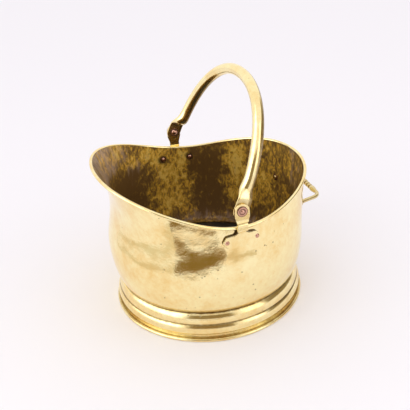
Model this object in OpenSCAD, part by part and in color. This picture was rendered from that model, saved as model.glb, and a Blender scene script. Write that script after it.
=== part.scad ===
// Helmet coal scuttle in sheet brass, with a swinging tube bail and a fixed handle at the back.
// Z is up, the spout points to -Y, the back handle to +Y, and the bail turns about an X axis.
// The origin is the middle of the foot ring, on the floor. Left is +X, as seen from the back.

/* [Body] */
// Thickness of the brass sheet of the body
sheet = 1; // [0.8:0.1:1.5]
// Outer radius of the body where it stands on the foot
waist_r = 112; // [100:0.5:126]
// How far the body swells out beyond its waist at its widest line
belly_out = 11.5; // [6:0.5:16]
// Height of the widest line above the floor
belly_z = 90; // [80:1:98]
// How far the wall leans out, in degrees, just above the foot
waist_lean = 48; // [30:1:56]
// Length of the rounding above the foot
waist_round = 8.5; // [5:0.5:12]
// Length of the rounding below the widest line
belly_round = 20; // [14:1:26]
// Width of the flange that is turned in under the body
flange_w = 9; // [5:0.5:14]

/* [Rim] */
// Diameter of the wire inside the rolled rim
wire_d = 1.8; // [1.2:0.1:2.6]
// How far the rim wire lies outside the waist at the back
rim_back_out = 17.5; // [12:0.5:22]
// How far the rim wire lies outside the waist at the sides
rim_side_out = 7; // [5:0.5:12]
// How far the rim wire lies outside the waist at the spout
rim_spout_out = 19.5; // [14:0.5:26]
// How much wider the rim is on the spout's quarters than on the back's quarters
rim_r_skew = 2.8; // [0:0.1:4]
// How much the rim fills out between its back, sides and spout
rim_r_full = 1.3; // [0:0.1:3]
// Height of the rim at the back
rim_back_z = 170; // [164:1:178]
// Height of the rim at the sides, where the brackets sit
rim_side_z = 154; // [150:1:160]
// Height of the rim at the tip of the spout
rim_spout_z = 200; // [190:1:210]
// How much higher the rim is on the back's quarters than on the spout's quarters
rim_z_skew = 1.4; // [0:0.1:3]
// How much the rim lifts between its back, sides and spout
rim_z_full = 2.2; // [0:0.1:4]

/* [Flare] */
// How far the wall leans out under the rim at the back, in degrees
back_lean = 4; // [0:1:10]
// How far the wall leans out under the rim at the sides, in degrees
side_lean = -5; // [-8:1:2]
// How far the wall leans out under the rim at the spout, in degrees
spout_lean = 30; // [20:1:36]
// Length of the wall's curve under the rim at the back
back_pull = 20; // [12:1:30]
// Length of the wall's curve under the rim at the sides
side_pull = 20; // [12:1:26]
// Length of the wall's curve under the rim at the spout
spout_pull = 62; // [48:1:68]
// Length of the wall's curve above the widest line at the back
back_rise = 34; // [20:1:40]
// Length of the wall's curve above the widest line at the sides
side_rise = 24; // [16:1:30]
// Length of the wall's curve above the widest line at the spout
spout_rise = 26; // [18:1:34]

/* [Foot] */
// How far the foot ring stands out beyond the waist on the floor
foot_out = 9.5; // [6:0.5:14]
// Height of the foot ring
foot_h = 37; // [34:1:44]
// Thickness of the foot ring's sheet
foot_sheet = 1; // [0.8:0.1:1.4]
// Diameter of the wire inside the foot's rolled edge
foot_wire_d = 2; // [1.4:0.1:2.6]
// Width of the flat that use has worn under the foot
worn_flat_w = 1.6; // [1:0.1:2]
// Height of the upper bead of the foot moulding
upper_bead_h = 15; // [11:0.5:17]
// How far the upper bead swells out
upper_bead_out = 2; // [1:0.1:3.4]
// Height of the lower bead of the foot moulding
lower_bead_h = 13; // [10:0.5:15]
// How far the lower bead swells out
lower_bead_out = 2; // [1:0.1:3]
// How far the groove between the beads lies inside the foot's edge
middle_groove_in = 5.5; // [4.5:0.1:7]
// How far the foot's neck is drawn in under the body
foot_neck_in = 0.5; // [0.3:0.1:1.5]

/* [Brackets] */
// Distance of the brackets and the bail's pivots behind the body's axis
bracket_y = 4.5; // [-4:0.5:10]
// Height of the bail's pivots above the rim
pivot_rise = 20.5; // [16:0.5:26]
// Thickness of the bracket plates
plate_t = 2.4; // [1.8:0.1:3]
// Radius of the rounded ear
ear_r = 8.9; // [8.2:0.1:11]
// Width of the neck that crosses the rim
neck_w = 12.6; // [10:0.5:15]
// Width of the winged plate from tip to tip
wing_w = 47; // [42:1:54]
// Width between the upper corners of the wings
wing_top_w = 37.5; // [32:0.5:40]
// Width of the wings along their lower edge
wing_low_w = 35; // [28:0.5:40]
// Height of the winged plate
wing_h = 19.5; // [17:0.5:24]
// Height of the wings' tips and rivets above the plate's lower edge
wing_tip_h = 7.6; // [6:0.1:9]
// Radius of the notches beside the neck
notch_r = 3.8; // [3:0.1:5]
// Distance between the two rivets of a bracket
wing_rivet_pitch = 38.5; // [34:0.5:42]
// How far the winged plate is turned, its back end down, in degrees
wing_tilt = 3; // [0:0.5:6]
// Width of the two ridges across the neck
ridge_w = 2.8; // [2:0.1:3.4]
// Height of the two ridges across the neck
ridge_h = 0.7; // [0.4:0.1:1]

/* [Rivets] */
// Diameter of the pivot rivets
pivot_d = 6; // [5:0.1:7]
// Diameter of the roves outside the ears
pivot_rove_d = 12.4; // [11:0.1:14]
// Diameter of the washers inside the bail's tongues
pivot_washer_d = 11; // [10:0.1:13]
// Diameter of the pivot rivets' heads
pivot_head_d = 8; // [7:0.1:9.5]
// Diameter of the bracket rivets
small_rivet_d = 3.6; // [3:0.1:4.2]
// Diameter of the bracket rivets' heads
small_head_d = 5.6; // [5:0.1:6.6]
// Diameter of the roves inside the body
small_rove_d = 9; // [8:0.1:10.5]
// Thickness of the copper roves and washers
rove_t = 1; // [0.8:0.1:1.4]
// Height of the rivets' domed ends
dome_h = 1.4; // [1:0.1:2]

/* [Bail] */
// Diameter of the bail's tube
tube_d = 13.4; // [11:0.1:15]
// Wall of the bail's tube
tube_wall = 1.2; // [0.9:0.1:1.6]
// Distance from the pivots to the top of the bail's middle line
bail_reach = 124; // [116:0.5:128]
// How far the bail's legs are drawn in from the tongues to the arch
bail_draw_in = 8.5; // [6:0.5:14]
// Fullness of the arch, where 2 is an ellipse
bail_full = 2.15; // [2:0.05:2.5]
// How far the arch sits behind the pivots
bail_set_back = 2.6; // [0:0.1:4]
// How far the bail leans back at rest, in degrees
bail_lean = 25; // [5:0.5:45]
// Width of the flattened tongues
tongue_w = 18; // [15:0.5:19]
// How far the tongues reach below the pivots
tongue_reach = 10.5; // [9.5:0.1:12]
// Thickness of the flattened tongues
tongue_t = 2.6; // [2:0.1:3]
// Diameter of the vent holes near the bail's ends
vent_d = 1.6; // [1.2:0.1:2.2]

/* [Back handle] */
// Height of the back handle above the floor
handle_z = 116.5; // [108:0.5:124]
// Angle from the back to each leg of the handle, in degrees
handle_angle = 18; // [15:0.5:20]
// How far the legs turn towards each other, in degrees
leg_turn = 16; // [4:1:18]
// Distance from the body's wall to the middle of the grip
handle_out = 23; // [18:0.5:28]
// Diameter of the handle's legs
leg_d = 5; // [4:0.1:5.6]
// Diameter of the grip where it is thickest
grip_d = 7.4; // [6.4:0.1:8.4]
// Radius of the bend from leg to grip
elbow_r = 12; // [6:0.5:13]
// Diameter of the pads where the legs meet the body
pad_d = 8.4; // [7.6:0.1:10]
// Distance between the three grooves of the grip
groove_pitch = 6; // [4:0.1:7]

/* [Clearances] */
// Space between each wire and the sheet rolled round it
wire_gap = 0.1; // [0.05:0.01:0.2]
// Radial clearance of the bail on its pivots
pivot_gap = 0.08; // [0.04:0.01:0.1]
// Space beside each face of the bail's tongues
side_gap = 0.12; // [0.08:0.01:0.2]
// Radial clearance of a rivet in its hole
rivet_gap = 0.04; // [0.02:0.01:0.08]
// Space between a bracket and the body or rim behind it
plate_gap = 0.1; // [0.06:0.01:0.15]

/* [Hidden] */
$fn = 64;

// Steps round the body, along its lower and upper wall, and round each rolled edge
round_n = 72;
low_n = 5;
up_n = 10;
curl_n = 7;
// Steps along the bail and round its tube
bail_n = 56;
tube_n = 18;

brass = [0.85, 0.70, 0.36];
dull_brass = [0.60, 0.47, 0.22];
copper = [0.72, 0.40, 0.30];
steel = [0.45, 0.45, 0.45];

// Radii of the body's widest line, of the rim wire's middle line and of the foot
belly_r = waist_r + belly_out;
rim_back_r = waist_r + rim_back_out;
rim_side_r = waist_r + rim_side_out;
rim_spout_r = waist_r + rim_spout_out;
foot_r = waist_r + foot_out;

// Inner and outer radius of the rolled rim, the angle where its edge ends, and the depth that
// heads, roves and pads are let into what they sit on
curl_in = wire_d / 2 + wire_gap;
curl_out = curl_in + sheet;
curl_end = -100;
seat = 0.15;
flange_r = waist_r - flange_w;
foot_wire_room = foot_wire_d / 2 + wire_gap;
foot_curl_out = foot_wire_room + foot_sheet;

// Angles of the neck's two edges round the body: the rim bulges most at the one towards the
// spout and is lowest at the other
neck_bulge_phi = 90 - asin((bracket_y - neck_w / 2) / rim_side_r);
neck_low_phi = 90 - asin((bracket_y + neck_w / 2) / rim_side_r);

// Places along the pivot axis, from the ear's inner face inwards and outwards
ear_in = rim_wire_at(neck_bulge_phi)[0] * sin(neck_bulge_phi) + curl_out + plate_gap;
ear_out = ear_in + plate_t;
tongue_out = ear_in - side_gap;
tongue_in = tongue_out - tongue_t;
washer_out = tongue_in - side_gap;
pivot_z = rim_side_z + pivot_rise;
// Top of the winged plate, just under the rolled rim, and height of its rivets
wing_z = rim_wire_at(neck_low_phi)[1] - curl_out - 2 * plate_gap;
wing_rivet_z = wing_z - wing_h + wing_tip_h;

// Value of a curve that runs round the body, from its values at the back, sides and spout
function around(phi, back, side, spout, skew, full) = side + (back - spout) / 2 * cos(phi)
    + ((back + spout) / 2 - side) * (1 + cos(2 * phi)) / 2
    + skew * (cos(3 * phi) - cos(phi)) + full * (1 - cos(4 * phi));
function simple_around(phi, back, side, spout) = around(phi, back, side, spout, 0, 0);

// A cubic curve and its unit direction
function cubic(p, t) = pow(1 - t, 3) * p[0] + 3 * t * pow(1 - t, 2) * p[1]
    + 3 * t * t * (1 - t) * p[2] + pow(t, 3) * p[3];
function cubic_slope(p, t) = pow(1 - t, 2) * (p[1] - p[0]) + 2 * t * (1 - t) * (p[2] - p[1])
    + t * t * (p[3] - p[2]);
function unit(v) = v / norm(v);

// Direction [out, up] of a line that leans out by an angle, and its outward normal
function leaning(a) = [sin(a), cos(a)];
function outward(d) = [d[1], -d[0]];

// Centre of the rim wire at an angle round the body, as [radius, height]
function rim_wire_at(phi) = [
    around(phi, rim_back_r, rim_side_r, rim_spout_r, rim_r_skew, rim_r_full),
    around(phi, rim_back_z, rim_side_z, rim_spout_z, rim_z_skew, rim_z_full) - curl_out];
function rim_lean(phi) = simple_around(phi, back_lean, side_lean, spout_lean);

// Control points of the wall's outer line below and above the widest line
function low_curve() = [[waist_r, foot_h], [waist_r, foot_h] + waist_round * leaning(waist_lean),
    [belly_r, belly_z - belly_round], [belly_r, belly_z]];
function up_curve(phi) = let (way = leaning(rim_lean(phi)),
    top = rim_wire_at(phi) - curl_in * outward(way),
    rise = simple_around(phi, back_rise, side_rise, spout_rise),
    pull = simple_around(phi, back_pull, side_pull, spout_pull))
    [[belly_r, belly_z], [belly_r, belly_z + rise], top - pull * way, top];

// Point [radius, height] of the wall, off its outer face by a distance. t runs from 0 at the
// foot over 1 at the widest line to 2 under the rim.
function wall_way(phi, t) = t < 1 ? unit(cubic_slope(low_curve(), t))
    : unit(cubic_slope(up_curve(phi), t - 1));
function wall_at(phi, t, off = 0) = (t < 1 ? cubic(low_curve(), t) : cubic(up_curve(phi), t - 1))
    + off * outward(wall_way(phi, t));
// The place t of a height on the upper wall, by halving
function up_t(phi, z, lo = 1, hi = 2, left = 24) = left == 0 ? (lo + hi) / 2
    : wall_at(phi, (lo + hi) / 2)[1] < z ? up_t(phi, z, (lo + hi) / 2, hi, left - 1)
    : up_t(phi, z, lo, (lo + hi) / 2, left - 1);

// A point [radius, height] turned to an angle round the body, where 0 is the back
function place(phi, p) = [p[0] * sin(phi), p[0] * cos(phi), p[1]];
function circle_at(c, r, a) = c + r * [cos(a), sin(a)];

// Places t of the rings of points along the wall
low_ts = [for (i = [1 : low_n - 1]) i / low_n];
up_ts = [for (i = [0 : up_n]) 1 + i / up_n];
wall_ts = concat(low_ts, up_ts);
wall_last = len(wall_ts) - 1;
round_angles = [for (i = [0 : round_n - 1]) 360 * i / round_n];

// Section of the body at one angle: outer wall, rolled rim, inner wall and flange
function body_section(phi) = let (way = leaning(rim_lean(phi)), out = outward(way),
    c = rim_wire_at(phi), turn = atan2(out[1], out[0]))
    concat([[flange_r, foot_h + sheet], [flange_r, foot_h], [waist_r, foot_h]],
        [for (t = wall_ts) wall_at(phi, t)],
        [for (i = [1 : curl_n]) circle_at(c, curl_in, turn + 180 + i * (curl_end - 180) / curl_n)],
        [for (i = [curl_n : -1 : 1])
            circle_at(c, curl_out, turn + 180 + i * (curl_end - 180) / curl_n)],
        [for (i = [wall_last : -1 : 0]) wall_at(phi, wall_ts[i], -sheet)],
        [[waist_r - sheet, foot_h + sheet]]);

// Triangles of a skin over rings of m points; the rings close on each other if closed is true
function skin(n, m, closed) = [for (i = [0 : n - (closed ? 1 : 2)], j = [0 : m - 1])
    let (k = (i + 1) % n, l = (j + 1) % m)
    each [[i * m + j, k * m + j, k * m + l], [i * m + j, k * m + l, i * m + l]]];
function caps(n, m) = [[for (j = [0 : m - 1]) j], [for (j = [m - 1 : -1 : 0]) (n - 1) * m + j]];

module swept_ring(rings)
    polyhedron([for (r = rings) each r], skin(len(rings), len(rings[0]), true), 10);
module swept_bar(rings) polyhedron([for (r = rings) each r],
    concat(skin(len(rings), len(rings[0]), false), caps(len(rings), len(rings[0]))), 10);

// Part of a sphere that stands on a disc
module dome(r, h) {
    ball_r = (r * r + h * h) / 2 / h;
    intersection() {
        translate([0, 0, h - ball_r]) sphere(ball_r);
        cylinder(h = h, r = r);
    }
}

module disc_with_hole(d, t, hole_d) difference() {
    cylinder(h = t, d = d);
    translate([0, 0, -1]) cylinder(h = t + 2, d = hole_d);
}

// Sets things on the wall, with Z out of its outer face
module on_wall(phi, z) {
    t = up_t(phi, z);
    way = wall_way(phi, t);
    translate(place(phi, wall_at(phi, t))) rotate([0, 90 + atan2(way[0], way[1]), 90 - phi])
        children();
}

// Sets things on the pivot axis of one side, with Z pointing away from the body
module on_pivot(side) translate([0, bracket_y, pivot_z]) rotate([0, side * 90, 0]) children();

// Sets things at both rivets of one side's bracket
module on_wing_rivets(side) for (end = [-1, 1])
    on_wall(side * (90 - asin((bracket_y + end * wing_rivet_pitch / 2) / belly_r)),
        wing_rivet_z - end * wing_rivet_pitch / 2 * sin(wing_tilt)) children();

// The back handle lies in a plane that is square to the wall behind it
handle_t = up_t(handle_angle, handle_z);
handle_wall = wall_at(handle_angle, handle_t);
handle_tilt = atan2(wall_way(handle_angle, handle_t)[0], wall_way(handle_angle, handle_t)[1]);
module on_handle() translate([0, handle_wall[0], handle_z]) rotate([-handle_tilt, 0, 0])
    translate([0, -handle_wall[0], 0]) children();

// ---- Body ----

module body_shell() color(brass) difference() {
    swept_ring([for (phi = round_angles) [for (p = body_section(phi)) place(phi, p)]]);
    for (side = [-1, 1]) {
        on_wing_rivets(side) {
            translate([0, 0, -4 * sheet]) cylinder(h = 8 * sheet, d = small_rivet_d + 2 * rivet_gap);
            translate([0, 0, -5 * sheet]) cylinder(h = 4 * sheet + seat, d = small_rove_d + seat);
        }
        on_wall(side * handle_angle, handle_z) {
            translate([0, 0, -4 * sheet]) cylinder(h = 8 * sheet, d = small_rivet_d + 2 * rivet_gap);
            translate([0, 0, -seat]) cylinder(h = 4 * sheet, d = pad_d + seat);
            translate([0, 0, -5 * sheet]) cylinder(h = 4 * sheet + seat, d = small_rove_d + seat);
        }
    }
}

module rim_wire() color(steel) swept_ring([for (phi = round_angles) let (c = rim_wire_at(phi))
    [for (j = [0 : 7]) place(phi, circle_at(c, wire_d / 2, j * 45))]]);

// Radius of the bottom plate, which lies under the flanges inside the foot ring
plate_r = waist_r - foot_neck_in - 2 * foot_sheet;
module base_plate() color(dull_brass) translate([0, 0, foot_h - foot_sheet - sheet])
    cylinder(h = sheet, r = plate_r, $fn = 120);

// ---- Foot ----

// Points of a line that swells out between two points
function swell(a, b, out, n) = let (side = outward(unit(a - b)))
    [for (i = [1 : n]) let (t = i / n) a + t * (b - a) + 4 * t * (1 - t) * out * side];

foot_wire_at = [foot_r - foot_curl_out, sqrt(pow(foot_curl_out, 2) - pow(worn_flat_w / 2, 2))];
foot_mid = foot_sheet / 2;
// How far inside the rolled edge the foot's sheet comes down to it
foot_flare_in = 0.4;
foot_neck = [waist_r - foot_neck_in - foot_mid, foot_h - foot_sheet];
foot_groove = [foot_r - middle_groove_in - foot_mid, foot_h - upper_bead_h];
foot_flare = [foot_wire_at[0] - foot_wire_room - foot_mid - foot_flare_in,
    foot_groove[1] - lower_bead_h];
// Middle line of the foot's sheet, from the flange under the body to the rolled edge
foot_line = concat([[flange_r, foot_h - foot_mid], [foot_neck[0] - foot_mid, foot_h - foot_mid],
    foot_neck], swell(foot_neck, foot_groove, upper_bead_out, 9),
    swell(foot_groove, foot_flare, lower_bead_out, 8),
    [for (a = [180 : 20 : 460]) circle_at(foot_wire_at, foot_wire_room + foot_mid, a)]);
function line_way(line, i) = unit(line[min(i + 1, len(line) - 1)] - line[max(i - 1, 0)]);
function line_off(line, off) = [for (i = [0 : len(line) - 1])
    line[i] + off * [line_way(line, i)[1], -line_way(line, i)[0]]];
function backwards(list) = [for (i = [len(list) - 1 : -1 : 0]) list[i]];

module foot_ring() color(brass) rotate_extrude($fn = 120) intersection() {
    polygon(concat(line_off(foot_line, foot_mid), backwards(line_off(foot_line, -foot_mid))));
    translate([flange_r - 1, 0]) square([foot_r, foot_h]);
}

module foot_wire() color(steel) rotate_extrude($fn = 120) translate(foot_wire_at)
    circle(d = foot_wire_d, $fn = 24);

// ---- Brackets ----

// Outline of the winged plate, as seen from its side, with its top middle at the origin
module wing_outline() difference() {
    polygon([[-wing_w / 2, wing_tip_h - wing_h], [-wing_top_w / 2, -notch_r], [-neck_w / 2, 0],
        [neck_w / 2, 0], [wing_top_w / 2, -notch_r], [wing_w / 2, wing_tip_h - wing_h],
        [wing_low_w / 2, -wing_h], [-wing_low_w / 2, -wing_h]]);
    for (side = [-1, 1]) translate([side * (neck_w / 2 + notch_r), 0]) circle(notch_r);
}

// A slab that follows the wall between two of its heights, outside it by the plate gap
patch_phis = [for (i = [-4 : 4]) 90 + i * 360 / round_n];
patch_low = 3;
module wall_slab() swept_bar([for (phi = patch_phis) concat(
    [for (i = [patch_low : up_n]) place(phi, wall_at(phi, up_ts[i], plate_gap + plate_t))],
    [for (i = [up_n : -1 : patch_low]) place(phi, wall_at(phi, up_ts[i], plate_gap))])]);

// Distance of the neck's inner face from the middle at a height
function neck_x(z) = plate_gap + sin(neck_bulge_phi)
    * wall_at(neck_bulge_phi, up_t(neck_bulge_phi, z))[0];
// How far the neck reaches down over the winged plate, and the height of its step outwards
neck_lap = 6;
step_h = 1.8;

// Side view of the neck: up from the plate on the wall, out under the rim and up to the ear
module neck_outline() {
    low_z = wing_z - neck_lap;
    step_z = wing_z - plate_t / 2;
    polygon([[neck_x(low_z), low_z], [neck_x(wing_z), wing_z], [ear_in, wing_z],
        [ear_in, pivot_z], [ear_out, pivot_z], [ear_out, step_z],
        [neck_x(wing_z) + plate_t, step_z - step_h], [neck_x(low_z) + plate_t, low_z]]);
}

// The ear seen from its side, drawn in to the neck's width above the rim
ear_low = 0.8 * ear_r;
neck_top = 0.75 * pivot_rise;
module ear_outline() {
    circle(ear_r);
    polygon([[-ear_r, 0], [-ear_r, -ear_low], [-neck_w / 2, -neck_top],
        [neck_w / 2, -neck_top], [ear_r, -ear_low], [ear_r, 0]]);
}

// The two ridges are shallow arcs, one above the other
ridge_r = (pow(ridge_w / 2, 2) + pow(ridge_h, 2)) / 2 / ridge_h;
ridge_pitch = 1.4 * ridge_w;

module bracket() difference() {
    union() {
        intersection() {
            wall_slab();
            translate([belly_r / 2, bracket_y, wing_z]) rotate([90, 0, 90])
                linear_extrude(belly_r) rotate(-wing_tilt) wing_outline();
        }
        translate([0, bracket_y + neck_w / 2, 0]) rotate([90, 0, 0]) linear_extrude(neck_w)
            neck_outline();
        translate([ear_in, bracket_y, pivot_z]) rotate([90, 0, 90]) linear_extrude(plate_t)
            ear_outline();
        for (up = [0, ridge_pitch])
            translate([ear_out + ridge_h - ridge_r, bracket_y - neck_w / 2, rim_side_z + ridge_w + up])
                rotate([-90, 0, 0]) cylinder(h = neck_w, r = ridge_r);
    }
    on_pivot(1) cylinder(h = 2 * ear_out, d = pivot_d + 2 * rivet_gap);
    on_wing_rivets(1) {
        cylinder(h = 3 * plate_t, d = small_rivet_d + 2 * rivet_gap, center = true);
        translate([0, 0, plate_gap + plate_t - seat]) cylinder(h = plate_t, d = small_head_d + seat);
    }
}

module bracket_left() color(brass) bracket();
module bracket_right() color(brass) mirror([1, 0, 0]) bracket();

// A rivet of a bracket, domed outside and inside
module wing_rivet() {
    inner = -sheet + seat - rove_t;
    translate([0, 0, inner]) cylinder(h = plate_gap + plate_t - inner, d = small_rivet_d);
    translate([0, 0, plate_gap + plate_t - seat]) dome(small_head_d / 2, dome_h);
    translate([0, 0, inner]) mirror([0, 0, 1]) dome(small_head_d / 2, dome_h);
}
module wing_rove() translate([0, 0, -sheet + seat - rove_t])
    disc_with_hole(small_rove_d, rove_t, small_rivet_d + 2 * rivet_gap);

module bracket_rivets_left() color(copper) on_wing_rivets(1) wing_rivet();
module bracket_rivets_right() color(copper) on_wing_rivets(-1) wing_rivet();
module bracket_roves_left() color(copper) on_wing_rivets(1) wing_rove();
module bracket_roves_right() color(copper) on_wing_rivets(-1) wing_rove();

// ---- Pivots ----

module pivot_rivet(side) on_pivot(side) {
    translate([0, 0, washer_out - rove_t]) {
        cylinder(h = ear_out + rove_t - washer_out + rove_t, d = pivot_d);
        mirror([0, 0, 1]) dome(pivot_head_d / 2, 1.5 * dome_h);
    }
    translate([0, 0, ear_out + rove_t]) dome(pivot_d / 2, dome_h);
}
module pivot_rove(side) on_pivot(side) translate([0, 0, ear_out])
    disc_with_hole(pivot_rove_d, rove_t, pivot_d + 2 * rivet_gap);
module pivot_washer(side) on_pivot(side) translate([0, 0, washer_out - rove_t])
    disc_with_hole(pivot_washer_d, rove_t, pivot_d + 2 * rivet_gap);

module pivot_rivet_left() color(copper) pivot_rivet(1);
module pivot_rivet_right() color(copper) pivot_rivet(-1);
module pivot_rove_left() color(copper) pivot_rove(1);
module pivot_rove_right() color(copper) pivot_rove(-1);
module pivot_washer_left() color(copper) pivot_washer(1);
module pivot_washer_right() color(copper) pivot_washer(-1);

// ---- Bail ----

tongue_mid = (tongue_in + tongue_out) / 2;
arch_half = tongue_mid - bail_draw_in;
// Heights above the pivots where the tongue starts to narrow, to thicken, and where it is as
// thick and then as narrow as the tube
narrow_from = 6;
thick_from = 11;
round_from = 23;
narrow_to = 36;
function smooth(s) = let (c = min(max(s, 0), 1)) c * c * (3 - 2 * c);
function narrowed(h) = smooth((h - narrow_from) / (narrow_to - narrow_from));
function grown(h) = smooth((h - thick_from) / (round_from - thick_from));

// Middle line of the bail as [x, height above the pivots], at an angle round the arch
function signed_pow(v, e) = sign(v) * pow(abs(v), e);
function bail_at(u) = let (h = bail_reach * pow(sin(u), 2 / bail_full))
    [arch_half * signed_pow(cos(u), 2 / bail_full)
        + sign(cos(u)) * bail_draw_in * (1 - grown(h)), h];
function bail_u(k) = 90 - (90 - bail_start) * cos(180 * k / bail_n);
bail_start = asin(pow(narrow_from / 2 / bail_reach, bail_full / 2));
function bail_way(k) = unit(bail_at(bail_u(k) + 0.2) - bail_at(bail_u(k) - 0.2));

// Section of the tube: flat at the tongues and round along the arch
function tube_point(a, wide, thick, e) =
    [wide * signed_pow(cos(a), e), thick * signed_pow(sin(a), e)];
function bail_ring(k, wall) = let (p = bail_at(bail_u(k)), way = bail_way(k), g = grown(p[1]),
    n = narrowed(p[1]), wide = tongue_w / 2 * (1 - n) + tube_d / 2 * n - wall,
    thick = (tongue_t / 2 - 0.05) * (1 - g) + tube_d / 2 * g - wall, e = 0.6 + 0.4 * g)
    [for (j = [0 : tube_n - 1]) let (q = tube_point(-360 * j / tube_n, wide, thick, e))
        [p[0] + q[1] * way[1], q[0] + n * bail_set_back, p[1] - q[1] * way[0]]];

hollow_from = [for (k = [0 : bail_n]) if (bail_at(bail_u(k))[1] > 0.75 * round_from) k][0];

module bail_tube(from, wall)
    swept_bar([for (k = [from : bail_n - from]) bail_ring(k, wall)]);

module bail() color(brass) translate([0, bracket_y, pivot_z]) rotate([-bail_lean, 0, 0])
    difference() {
        union() {
            bail_tube(0, 0);
            for (side = [-1, 1]) translate([side * tongue_mid, 0, tongue_w / 2 - tongue_reach]) {
                rotate([0, 90, 0]) cylinder(h = tongue_t, d = tongue_w, center = true);
                translate([-tongue_t / 2, -tongue_w / 2, 0])
                    cube([tongue_t, tongue_w, narrow_from + tongue_reach - tongue_w / 2]);
            }
        }
        bail_tube(hollow_from, tube_wall);
        for (side = [-1, 1]) {
            translate([side * tongue_mid, 0, 0]) rotate([0, 90, 0])
                cylinder(h = 3 * tongue_t, d = pivot_d + 2 * pivot_gap, center = true);
            translate([side * arch_half, bail_set_back, round_from]) rotate([0, -side * 90, 0])
                cylinder(h = tube_d, d = vent_d);
        }
    }

// ---- Back handle ----

pad_t = 1.9;
// Where the leg's middle line starts in its pad, and where it meets the grip's line
leg_start = (handle_wall[0] + 0.65 * pad_t) * [sin(handle_angle), cos(handle_angle)];
grip_y = handle_wall[0] + handle_out;
corner_way = (grip_y - leg_start[1]) / cos(leg_turn);
corner_x = leg_start[0] - corner_way * sin(leg_turn);
elbow_cut = elbow_r * tan((90 - leg_turn) / 2);
elbow_x = corner_x - elbow_cut;
// How much thinner the elbows are, and how far grip and legs reach into them
elbow_step = 0.1;
elbow_lap = 0.4;
// Depth and half width of the grip's grooves, and how much thinner it is between them
groove_depth = 1;
groove_half = 1.2;
grip_fall = 0.3;
grip_r = grip_d / 2;

// Half of the grip's outline as [distance along the grip, radius]
grip_half = [[groove_half, grip_r - grip_fall], [groove_pitch - groove_half, grip_r - grip_fall],
    [groove_pitch, grip_r - grip_fall - groove_depth],
    [groove_pitch + groove_half, grip_r - grip_fall], [elbow_x * 0.5, grip_r],
    [elbow_x * 0.8, grip_r - grip_fall], [elbow_x + elbow_lap, leg_d / 2]];
grip_outline = concat([[-elbow_x - elbow_lap, 0]], backwards([for (p = grip_half) [-p[0], p[1]]]),
    [[0, grip_r - grip_fall - groove_depth]], grip_half, [[elbow_x + elbow_lap, 0]]);

module handle_leg() {
    translate(leg_start) rotate([-90, 0, leg_turn])
        cylinder(h = corner_way - elbow_cut + elbow_lap, d = leg_d);
    translate([elbow_x, grip_y - elbow_r]) rotate(leg_turn) rotate_extrude(angle = 90 - leg_turn)
        translate([elbow_r, 0]) circle(d = leg_d - 2 * elbow_step);
}

module rear_handle() color(brass) {
    on_handle() {
        translate([0, grip_y, 0]) rotate([0, 90, 0]) rotate_extrude()
            polygon([for (p = grip_outline) [p[1], p[0]]]);
        for (flip = [0, 1]) mirror([flip, 0, 0]) handle_leg();
    }
    inner = -sheet + seat - rove_t;
    for (side = [-1, 1]) on_wall(side * handle_angle, handle_z) {
        translate([0, 0, inner]) cylinder(h = pad_t - inner - seat, d = small_rivet_d);
        translate([0, 0, -seat]) cylinder(h = pad_t, d = pad_d);
        translate([0, 0, inner]) mirror([0, 0, 1]) dome(small_head_d / 2, dome_h);
    }
}

module rear_handle_roves() color(copper)
    for (side = [-1, 1]) on_wall(side * handle_angle, handle_z) wing_rove();

body_shell();
rim_wire();
base_plate();
foot_ring();
foot_wire();
bracket_left();
bracket_right();
bracket_rivets_left();
bracket_rivets_right();
bracket_roves_left();
bracket_roves_right();
bail();
pivot_rivet_left();
pivot_rivet_right();
pivot_rove_left();
pivot_rove_right();
pivot_washer_left();
pivot_washer_right();
rear_handle();
rear_handle_roves();
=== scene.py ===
"""Looks of a helmet coal scuttle in sheet brass: its smooth pieces, finishes, floor, light and camera."""

import math

import bmesh
import bpy
from bpy.props import FloatProperty, FloatVectorProperty, IntProperty, PointerProperty
from mathutils import Matrix, Vector, noise


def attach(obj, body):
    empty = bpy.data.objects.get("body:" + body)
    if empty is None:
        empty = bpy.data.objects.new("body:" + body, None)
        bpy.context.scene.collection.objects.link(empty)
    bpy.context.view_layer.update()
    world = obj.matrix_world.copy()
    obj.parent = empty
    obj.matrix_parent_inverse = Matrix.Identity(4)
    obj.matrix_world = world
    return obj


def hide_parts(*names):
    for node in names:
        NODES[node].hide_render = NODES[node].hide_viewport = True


bl_info = {
    "name": "Helmet coal scuttle",
    "version": (1, 0, 0),
    "blender": (4, 5, 0),
    "location": "View3D > Sidebar > Scuttle",
    "description": "Builds the visible pieces and finishes of a brass coal scuttle",
    "category": "Object",
}

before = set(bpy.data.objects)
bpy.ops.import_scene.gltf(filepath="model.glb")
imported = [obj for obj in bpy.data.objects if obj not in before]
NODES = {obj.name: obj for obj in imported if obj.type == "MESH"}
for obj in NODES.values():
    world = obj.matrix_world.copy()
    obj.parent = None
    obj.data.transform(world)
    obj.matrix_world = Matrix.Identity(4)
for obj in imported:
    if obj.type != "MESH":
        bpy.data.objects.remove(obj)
MM = 0.001


def linear(code):
    """The linear colour of an sRGB hex code."""
    parts = [int(code[i : i + 2], 16) / 255 for i in (1, 3, 5)]
    return [p / 12.92 if p <= 0.04045 else ((p + 0.055) / 1.055) ** 2.4 for p in parts]


def length(name, description, millimetres):
    """A size property, given in millimetres."""
    return FloatProperty(
        name=name, description=description, default=millimetres * MM, min=0.0, unit="LENGTH", precision=5
    )


def colour(name, description, code):
    """A colour property, given as an sRGB hex code."""
    return FloatVectorProperty(
        name=name, description=description, default=linear(code), size=3, min=0.0, max=1.0, subtype="COLOR"
    )


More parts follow.
